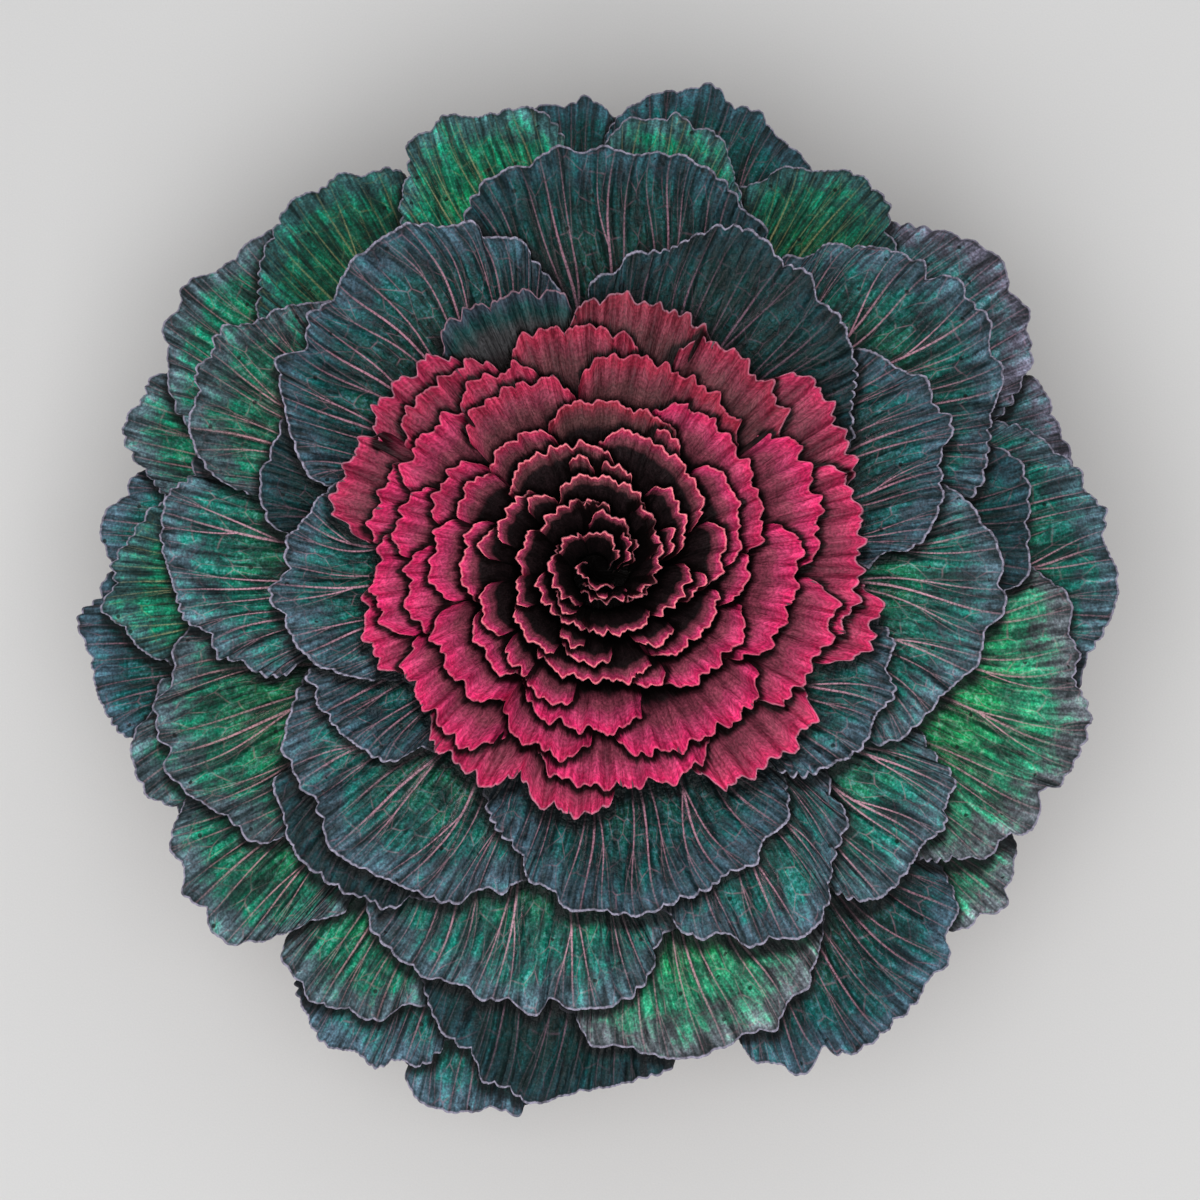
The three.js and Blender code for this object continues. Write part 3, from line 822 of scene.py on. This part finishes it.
def make_leaves():
    leaves = stack_leaves()
    by_name = {leaf.name: leaf for leaf in leaves}
    for name, *fold in FOLDS:
        by_name[name].add_fold(*fold)
    grid = blade_grid(LEAF_ROWS)
    materials = {tone: leaf_material(tone) for tone in TONES}
    head = [head_outline(leaf) for leaf in RED_ALL if leaf[2] > RED_OUTSIDE]
    for leaf in leaves:
        over = [
            other.outline() for other in leaves
            if other.level < leaf.level and leaf.overlaps(other)
        ]
        soup = Soup()
        leaf.mesh(soup, grid, head + over)
        slot = "leaf_green" if leaf.name.startswith("outer") else "leaf_slate"
        soup.piece(f"blade_{leaf.name}", materials[leaf.tone], slot, leaf.name)


# Red head

def head_under(radius):
    return bowl_height(np.maximum(radius, STEM_RADIUS), 0) + CORE_CLEARANCE


def head_top(radius):
    return head_under(radius) + CORE_DEPTH


def margin_height(radius):
    off = radius - CREST_RADIUS
    return CREST - off * off * np.where(off > 0, OUTER_FALL, HEART_FALL)


def pleats(along, index):
    """Waves along a red margin that rise slowly and fall fast, from 0 up."""
    start = RED_PHASE * index
    run = (-1) ** (index + 1) * along / PLEAT_PITCH + 0.35 * sin(along / 8.3 + start) + start
    run = run - np.floor(run)
    return run * (1 - smoothstep(0.55, 1, run))


def fine_frill(along, v, size, index):
    """How far the fine frill moves a place on a red leaf, outwards and up."""
    start = RED_PHASE * index
    depth = (0.45 + 0.55 * size) * (1 + 0.4 * sin(along / 4.3 + 2 * start))
    tooth = teeth(along + 0.6 * sin(along / 2.1 + start), TOOTH_PITCH, TOOTH_MEAN)
    small = teeth(along + 0.3 * sin(along / 1.1 + start), SMALL_TOOTH_PITCH, TOOTH_MEAN)
    curl = CURL * sin(TAU * along / CURL_PITCH + 2 * sin(along / 5 + start))
    curl = curl + SMALL_CURL * sin(TAU * along / SMALL_CURL_PITCH + start)
    out = v**4 * (0.35 + 0.65 * size) * PLEAT * (pleats(along, index) - PLEAT_MEAN)
    out = out + v**4 * size * WAVE_OUT * waves(along, WAVE_OUT_PITCH, start)
    out = out + v**9 * depth * (TOOTH * tooth + SMALL_TOOTH * small)
    out = out + v**4 * (1 - size) * curl
    up = v**4 * (0.4 + 0.6 * size) * WAVE_UP * waves(along, WAVE_UP_PITCH, start + 1)
    up = up + v**12 * TOOTH_UP * depth * sin(TAU * along / TOOTH_UP_PITCH + start)
    return out, up


def head_surface(leaf, u, v, fine=True):
    """Places on a red leaf, whose number sets where its waves start."""
    bearing, span, radius, index = leaf
    span = radians(span) * RED_SPREAD
    radius = RED_SCALE * radius
    sides = abs(u) ** SIDE_POWER
    rise = v * (1 - SIDE_DROP * sides)
    sunk = rise - SIDE_SINK * v * sides
    margin = radius + RED_LEAN * u
    root = ROOT_SHARE * margin
    low = head_top(root) - ROOT_DEPTH
    high = margin_height(margin)
    out = quadratic(root, root + FLARE_OUT * (margin - root), margin, rise)
    height = quadratic(low, low + FLARE_UP * (high - low), high, sunk)

    along = u * span * radius
    drift = 1.3 * sin(along / 9 + RED_PHASE * index) * (1 - u * u) if fine else 0
    frills = max(2, round(2 * span * radius / FRILL_PITCH))
    frill = v**3 * cos(pi * frills * (u + 1) + drift)
    size = smoothstep(5, 85, radius)
    out = out + FRILL_OUT * frill * size
    height = height + FRILL_UP * frill
    if fine:
        outwards, up = fine_frill(along, v, size, index)
        out, height = out + outwards, height + up
    angle = radians(bearing) + span * u
    x, y = out * cos(angle), out * sin(angle)
    return np.stack([x, y, height + swell(x, y)], 1)


def head_crest(leaf, u):
    """How high on the margin's pleats and waves a place lies, from 0 to about 1."""
    _, span, radius, index = leaf
    along = u * radians(span) * RED_SPREAD * RED_SCALE * radius
    wave = waves(along, WAVE_UP_PITCH, RED_PHASE * index + 1)
    return 0.9 * pleats(along, index) + 0.2 + 0.2 * wave


def head_outline(leaf):
    """Points along the margin, and the axis."""
    margin = head_surface(leaf, np.linspace(-0.9, 0.9, 120), np.ones(120))
    return np.vstack([margin, (0, 0, 0)])


def head_leaf(soup, leaf, outlines):
    bearing, span, radius, index = leaf
    arc = 2 * radians(span) * radius
    u, v, face, rim = blade_grid(RED_ROWS, 4 * max(4, round(arc / (4 * RED_SEGMENT))))

    def smooth(u, v):
        return head_surface(leaf, u, v, False)

    across = smooth(u + SLOPE_STEP, v) - smooth(u - SLOPE_STEP, v)
    along = smooth(u, v + SLOPE_STEP) - smooth(u, v - SLOPE_STEP)
    inward = np.cross(along, across)
    inward /= np.linalg.norm(inward, axis=1)[:, None]
    mm_along = np.linalg.norm(along, axis=1) / (2 * SLOPE_STEP)
    upper = head_surface(leaf, u, v)

    # Painted side light: high on the near side and at the left and right, none on the far side,
    # and a little different from leaf to leaf
    turn = radians(bearing)
    near = 0.5 - 0.5 * sin(turn)
    glow = 0.9 * near**0.7 + 0.5 * cos(turn) ** 2 + 0.15 * sin(2.7 * index)
    soup.add_blade(
        upper, upper - RED_BLADE * inward, face, rim, edge=(1 - v) * mm_along,
        along=u * arc / 2 + 37 * index, crest=head_crest(leaf, u),
        cover=cover_distance(upper, outlines), glow=glow, radius=radius,
        teal=float(index == TEAL_LEAF),
    )


def red_material():
    """Skin of a red leaf: pinker with painted light on the near side and at the left and
    right, and nearly black with painted shade deep between the leaves and in the heart.
    """
    s = Shader("leaf_red")
    edge, along, crest, under = s.values("edge along crest under")
    glow, radius, teal = s.values("glow radius teal")
    place = s.vector(along, edge)
    ribs = s.vector(s.times(along, 0.75), s.times(edge, 0.12))
    streaks = s.flat_noise(ribs, 1, 2, 0.6)
    blotches = s.flat_noise(place, 5, 2, 0.5)
    mottles = s.flat_noise(place, 0.9, 1, 0.6)

    outer = s.fade(72, 86, radius)
    # Painted light: rim, middle and deep colours each come as a shaded and a lit copy, which the
    # painted side light blends
    dull = s.blend(outer, (150, 42, 62), (118, 44, 54))
    bright = s.blend(outer, (202, 38, 96), (196, 46, 94))
    rim = s.blend(glow, dull, bright)
    middle = s.blend(outer, (178, 56, 98), (156, 54, 84))
    middle = s.blend(glow, (106, 48, 58), middle)
    deep = s.blend(glow, (80, 48, 50), (122, 52, 70))
    s.colour = s.blend(teal, rim, (52, 62, 74))
    middle = s.blend(teal, middle, (20, 58, 58))
    deep = s.blend(teal, deep, (50, 50, 52))

    # Partly the leaf's own colour and partly painted shade: inward from the margin it turns to
    # the middle and deep colours, then near-black where leaves lie deep between others, and
    # sooner in the heart
    inward = s.plus(
        s.times(edge, s.fade(24, 62, radius, 4.5, 1)), s.ramp(streaks, 4, -2),
        s.ramp(blotches, 5, -2.5),
    )
    s.paint(s.fade(1, 6, inward), middle)
    s.paint(s.fade(5, 11, inward), deep)
    s.paint(s.fade(12, 20, inward), (24, 15, 17))
    # Painted light and shade: the frill's crests lighter and its troughs darker; streaks, mottles
    # and blotches vary the tone
    s.darken(
        s.fade(0.28, 0.72, streaks, 0.72, 1.28), s.fade(0.1, 0.9, crest, 0.7, 1.22),
        s.fade(0.3, 0.7, mottles, 0.72, 1.28), s.fade(0.3, 0.7, blotches, 0.82, 1.18),
    )

    # Partly the margin's own pale line and partly a painted highlight, brightest in the heart,
    # where little light reaches
    lip_colour = s.blend(outer, (232, 110, 136), (196, 150, 168))
    lip_colour = s.blend(s.fade(30, 60, radius), (255, 142, 152), lip_colour)
    lip = s.times(s.fade(0.2, 0.8, edge, 1, 0), s.fade(30, 62, radius, 0.92, 0.5))
    s.paint(lip, lip_colour)
    back = s.blend(s.fade(0.3, 0.7, streaks), (120, 60, 84), (104, 92, 96))
    back = s.blend(s.fade(8, 26, edge), back, (112, 122, 96))
    s.paint(under, back)
    s.dusk((0.001, 0, 0, 1), 0.97, (0.4, 2.4), (-8, -2))

    height = s.plus(s.times(streaks, 0.9), s.times(mottles, 0.15))
    return s.finish(s.ramp(mottles, 0.2, 0.45), height, 0.16)


def make_red_leaves(material):
    outlines = [head_outline(leaf) for leaf in RED_ALL]
    for number, (first, last) in enumerate(RED_GROUPS, 1):
        soup = Soup()
        for leaf in RED_ALL[first:last]:
            bearing, span, radius, _ = leaf
            over = [
                outlines[other] for turn, width, reach, other in RED_ALL
                if radius - RED_SHADES < reach < radius
                and abs((turn - bearing + 180) % 360 - 180) < span + width
            ]
            head_leaf(soup, leaf, over)
        soup.piece(f"red_leaves_{number}", material, "leaf_red", "red_head")


def lathe(profile, sides):
    """Surface of revolution from (radius, height) pairs that start and end on the axis:
    its points and triangles, and each point's bearing and radius."""
    turn = TAU * np.arange(sides) / sides
    inner = profile[1:-1]
    rings = [joined((r * cos(turn), r * sin(turn), z)) for r, z in inner]
    points = np.vstack([*rings, [(0, 0, profile[k][1]) for k in (0, -1)]])
    i = np.arange(sides)
    j = (i + 1) % sides
    faces = []
    for a in range(0, (len(inner) - 1) * sides, sides):
        b = a + sides
        faces += [(a + i, a + j, b + j), (a + i, b + j, b + i)]
    end = len(inner) * sides
    faces = joined(*faces, (end, j, i), (b + i, b + j, end + 1))
    x, y, _ = points.T
    return points, faces, arctan2(y, x), hypot(x, y)


def resampled(profile, step):
    """The profile with points no more than step apart."""
    profile = np.array(profile)
    result = [profile[0]]
    for a, b in zip(profile, profile[1:]):
        parts = ceil(dist(a, b) / step)
        result += [a + (b - a) * k / parts for k in range(1, parts + 1)]
    return result


def make_core(material):
    seat = STEM_TOP + GAP
    profile = [(0, seat), (STEM_RADIUS, seat)]
    profile += [(r, head_under(r)) for r in range(CORE_SEAT, CORE_RADIUS, CORE_STEP)]
    profile += [(CORE_RADIUS, head_under(CORE_RADIUS) + CORE_EDGE)]
    profile += [(r, head_top(r)) for r in range(CORE_RADIUS - CORE_STEP, 0, -CORE_STEP)]
    profile += [(0, head_top(0))]
    points, triangles, bearing, reach = lathe(profile, CORE_SIDES)
    x, y, z = points.T
    under = z < head_under(reach) + 2
    ribs = abs(sin(CORE_RIBS * bearing / 2 + 2 * sin(3 * bearing)))
    ribs = ribs * smoothstep(STEM_RADIUS, 30, reach) * smoothstep(CORE_RADIUS, 38, reach)
    points[:, 2] += swell(x, y) - np.where(under, CORE_RIB_DEPTH * ribs, 0)
    # The core's upper side is painted near-black shade, as deep inside a leaf, and has no painted
    # side light; its underside takes the leaves' back colour
    Soup().add(
        points, triangles, True, edge=90, along=30 * bearing, cover=-2, glow=0, radius=40,
        teal=0, crest=0, under=under,
    ).piece("red_core", material, "leaf_red", "red_head")


# Pot, soil and stem

def pot_inside(height):
    share = (height - POT_FLOOR) / (POT_HEIGHT - POT_FLOOR)
    bottom = POT_BASE_RADIUS - POT_WALL
    return bottom + share * (POT_TOP_RADIUS - POT_LIP - bottom)


def rounded(corners, radius, steps=5):
    """The profile with every corner but its ends rounded."""
    corners = np.array(corners)
    result = [corners[0]]
    for before, corner, after in zip(corners, corners[1:], corners[2:]):
        near = min(radius, 0.45 * dist(before, corner), 0.45 * dist(corner, after))
        start = corner + (before - corner) * near / dist(before, corner)
        end = corner + (after - corner) * near / dist(corner, after)
        result += [quadratic(start, corner, end, k / steps) for k in range(steps + 1)]
    return result + [corners[-1]]


def clay_material():
    s = Shader("terracotta", (168, 94, 62))
    place = s.place()
    height = s.node("SeparateXYZ", {0: place}, 2)
    clouds = s.noise(place, 45 * MM, 4, 0.6)
    grain = s.noise(place, 1.1 * MM, 3, 0.7)
    rings = s.noise(s.vector(0, 0, height), 3.5 * MM, 2)
    pores = s.cells(place, 3.2 * MM)
    bloom = s.noise(place, 28 * MM, 5, 0.7)
    s.paint(s.fade(0.3, 0.7, clouds), (194, 118, 82))
    s.paint(s.fade(0.45, 0.7, grain, 0, 0.3), (140, 74, 50))
    s.paint(s.fade(0.56, 0.75, bloom, 0, 0.4), (214, 186, 164))
    s.paint(s.fade(0.06, 0.16, pores, 0.5, 0), (104, 56, 40))
    relief = s.plus(
        s.times(grain, 0.25), s.times(rings, 0.35), s.fade(0.05, 0.18, pores, -0.15, 0)
    )
    return s.finish(s.ramp(grain, 0.15, 0.78), relief)


def drill(pot, centre):
    """Cuts a drain hole through the pot's floor."""
    bpy.ops.mesh.primitive_cylinder_add(
        vertices=40, radius=DRAIN_RADIUS * MM, depth=4 * POT_FLOOR * MM, location=centre
    )
    bit = bpy.context.object
    cut = pot.modifiers.new("drain", "BOOLEAN")
    cut.operation, cut.solver, cut.object = "DIFFERENCE", "EXACT", bit
    evaluated = pot.evaluated_get(bpy.context.evaluated_depsgraph_get())
    pot.data = bpy.data.meshes.new_from_object(evaluated)
    pot.modifiers.clear()
    bpy.data.objects.remove(bit)


def make_pot():
    rim_bottom = POT_HEIGHT - RIM_HEIGHT
    slope = (POT_TOP_RADIUS - RIM_STEP - POT_BASE_RADIUS) / POT_HEIGHT
    corners = [
        (0, 0), (POT_BASE_RADIUS, 0), (POT_BASE_RADIUS + slope * rim_bottom, rim_bottom),
        (POT_TOP_RADIUS - slope * RIM_HEIGHT, rim_bottom + 0.5),
        (POT_TOP_RADIUS, POT_HEIGHT), (pot_inside(POT_HEIGHT), POT_HEIGHT),
        (pot_inside(POT_FLOOR), POT_FLOOR), (0, POT_FLOOR),
    ]
    profile = resampled(rounded(corners, POT_ROUNDING), 4)
    points, triangles, _, reach = lathe(profile, POT_SIDES)
    z = points[:, 2]
    uneven = 0.12 * sin(z / 2.1) + 0.1 * sin(z / 5.3 + 1)
    outside = reach > POT_BASE_RADIUS + 0.1 * z
    shift = np.where(outside, uneven, 0) / np.maximum(reach, 1)
    points[:, :2] *= (1 + shift)[:, None]
    pot = Soup().add(points, triangles, True).piece("clay_pot", clay_material(), "clay", "pot")
    for k in range(DRAIN_HOLES):
        bearing = DRAIN_TURN + TAU * k / DRAIN_HOLES
        drill(pot, Vector((cos(bearing), sin(bearing), 0)) * DRAIN_RING * MM)
    pot.data.set_sharp_from_angle(angle=radians(50))


def soil_material():
    s = Shader("potting_soil", (46, 32, 24))
    place = s.place()
    lumps = s.noise(place, 6 * MM, 4, 0.7)
    grain = s.noise(place, 1.4 * MM, 3, 0.7)
    fibre = s.cells(place, 3.4 * MM)
    s.paint(s.fade(0.35, 0.65, lumps), (84, 60, 44))
    s.paint(s.fade(0.55, 0.7, grain, 0, 0.5), (120, 90, 66))
    s.paint(s.fade(0.05, 0.3, fibre, 0.4, 0), (28, 18, 14))
    return s.finish(0.95, s.plus(s.times(lumps, 1.2), s.times(grain, 0.6)))


def soil_swell(x, y):
    return SOIL_SWELL * sin(SOIL_WAVE * x) * cos(SOIL_WAVE * y)


def icosahedron():
    """Corners at 1 from the middle, and triangles, which join the nearest corners."""
    gold = (1 + sqrt(5)) / 2
    ring = [(x, y, 0) for y in (gold, -gold) for x in (-1, 1)]
    corners = np.array([np.roll(corner, k) for k in range(3) for corner in ring])
    faces = [
        face if np.linalg.det(corners[list(face)]) > 0 else face[::-1]
        for face in combinations(range(12), 3)
        if all(dist(corners[a], corners[b]) < 3 for a, b in combinations(face, 2))
    ]
    return corners / hypot(1, gold), np.array(faces)


def make_soil():
    random = np.random.default_rng(SOIL_SEED)
    hole = STEM_FOOT_RADIUS + GAP
    widest = pot_inside(SOIL_TOP)
    bottom = POT_FLOOR + GAP
    profile = [(0, bottom), (pot_inside(POT_FLOOR) - GAP, bottom), (widest - GAP, SOIL_TOP)]
    profile += [(r, SOIL_TOP) for r in np.arange(widest - 2, hole + 1, -1.6)]
    profile += [(hole, SOIL_TOP), (hole, STEM_BOTTOM - GAP), (0, STEM_BOTTOM - GAP)]
    points, triangles, _, reach = lathe(profile, SOIL_SIDES)
    x, y, z = points.T
    rough = soil_swell(x, y) * smoothstep(widest, 70, reach) * smoothstep(hole, 27, reach)
    rough = rough + 0.5 * sin(0.9 * x + 1) * sin(0.8 * y + 2)
    rough = rough + 0.4 * sin(1.9 * x - 0.7 * y) + random.normal(0, 0.22, len(points))
    points[:, 2] += np.where(z == SOIL_TOP, rough, 0)
    soup = Soup().add(points, triangles, True)

    corners, faces = icosahedron()
    for _ in range(CRUMBS):
        reach = sqrt(random.uniform((hole + 2.5) ** 2, (widest - 3.5) ** 2))
        bearing = random.uniform(0, TAU)
        x, y = reach * cos(bearing), reach * sin(bearing)
        size = random.uniform(0.5, 1) ** 2 * CRUMB_SIZE
        stretch = np.array([1, random.uniform(0.45, 1), random.uniform(0.3, 0.7)]) * size
        crumb = corners * random.uniform(0.75, 1.2, (12, 1)) * stretch
        turn = random.uniform(0, TAU)
        c, t = cos(turn), sin(turn)
        crumb = crumb @ np.array([[c, -t, 0], [t, c, 0], [0, 0, 1]])
        z = SOIL_TOP + 0.8 * soil_swell(x, y) + 0.2 * size
        soup.add(crumb + (x, y, z), faces, False)
    soup.piece("potting_soil", soil_material(), "soil", "soil")


def stem_material():
    s = Shader("kale_stem", (112, 120, 84))
    place = s.place()
    bark = s.noise(place, 4 * MM, 4, 0.6)
    grain = s.noise(place, 0.9 * MM, 2, 0.6)
    s.paint(s.fade(0.35, 0.65, bark), (156, 158, 118))
    s.paint(s.fade(0.5, 0.75, grain, 0, 0.4), (92, 74, 66))
    return s.finish(0.62, s.plus(s.times(bark, 0.6), s.times(grain, 0.2)))


def make_stem():
    """A thick stem with its scars in a spiral."""
    profile = [
        (0, STEM_BOTTOM), (STEM_FOOT_RADIUS - STEM_BEVEL, STEM_BOTTOM),
        (STEM_FOOT_RADIUS, SOIL_TOP), (STEM_RADIUS, LOWEST_LEAF - 2 * LEVEL_STEP),
        (STEM_RADIUS, STEM_TOP - STEM_BEVEL), (STEM_RADIUS - STEM_BEVEL, STEM_TOP), (0, STEM_TOP),
    ]
    points, triangles, bearing, reach = lathe(resampled(profile, 1.6), STEM_SIDES)
    bulge = np.zeros(len(points))
    for k in range(SCARS):
        away = wrapped(bearing - k * GOLDEN_ANGLE) * STEM_RADIUS
        off = points[:, 2] - (SOIL_TOP + 3 + SCAR_RISE * k)
        scar = exp(-((away / SCAR_WIDTH) ** 4) - (off / SCAR_HEIGHT) ** 2)
        bulge = np.maximum(bulge, scar)
    side = reach > STEM_RADIUS - 1
    shrink = np.where(side, SCAR_DEPTH * (bulge - 1), 0) / np.maximum(reach, 1)
    points[:, :2] *= (1 + shrink)[:, None]
    Soup().add(points, triangles, True).piece("kale_stem", stem_material(), "stem", "stem")


# Studio

def make_camera():
    data = bpy.data.cameras.new("camera")
    data.lens, data.sensor_width, data.clip_end = LENS, SENSOR, CLIP_END
    camera = shown("camera", data)
    back = Vector((0, -cos(VIEW_ELEVATION), sin(VIEW_ELEVATION)))
    camera.location = VIEW_TARGET + back * VIEW_DISTANCE
    camera.rotation_euler = (pi / 2 - VIEW_ELEVATION, 0, 0)
    bpy.context.scene.camera = camera


def area_light(name, azimuth, elevation, distance, size, power):
    """A square light that faces the plant."""
    data = bpy.data.lights.new(name, "AREA")
    data.shape, data.size, data.energy = "SQUARE", size, power
    lamp = shown(name, data)
    a, e = radians(azimuth), radians(elevation)
    away = Vector((cos(a) * cos(e), sin(a) * cos(e), sin(e)))
    lamp.location = VIEW_TARGET + away * distance
    lamp.rotation_euler = (-away).to_track_quat("-Z", "Y").to_euler()


def floor_material():
    s = Shader("pale_floor", (206, 206, 206))
    grain = s.noise(s.place(), 0.6 * MM, 2)
    s.paint(grain, (214, 214, 214))
    return s.finish(0.9, s.times(grain, 0.02))


def make_studio():
    bpy.ops.mesh.primitive_plane_add(size=FLOOR_SIZE, location=(0, 0, -FLOOR_GAP))
    floor = bpy.context.object
    floor.name = "floor"
    floor.data.materials.append(floor_material())
    for name, values in LIGHTS.items():
        area_light(name, *values)
    world = bpy.data.worlds.new("studio")
    world.use_nodes = True
    background = world.node_tree.nodes["Background"].inputs
    background["Color"].default_value = (1, 1, 1, 1)
    background["Strength"].default_value = WORLD_LIGHT
    bpy.context.scene.world = world
    bpy.context.scene.view_settings.view_transform = "Standard"


make_pot()
make_soil()
make_stem()
make_leaves()
red = red_material()
make_red_leaves(red)
make_core(red)
make_studio()
make_camera()
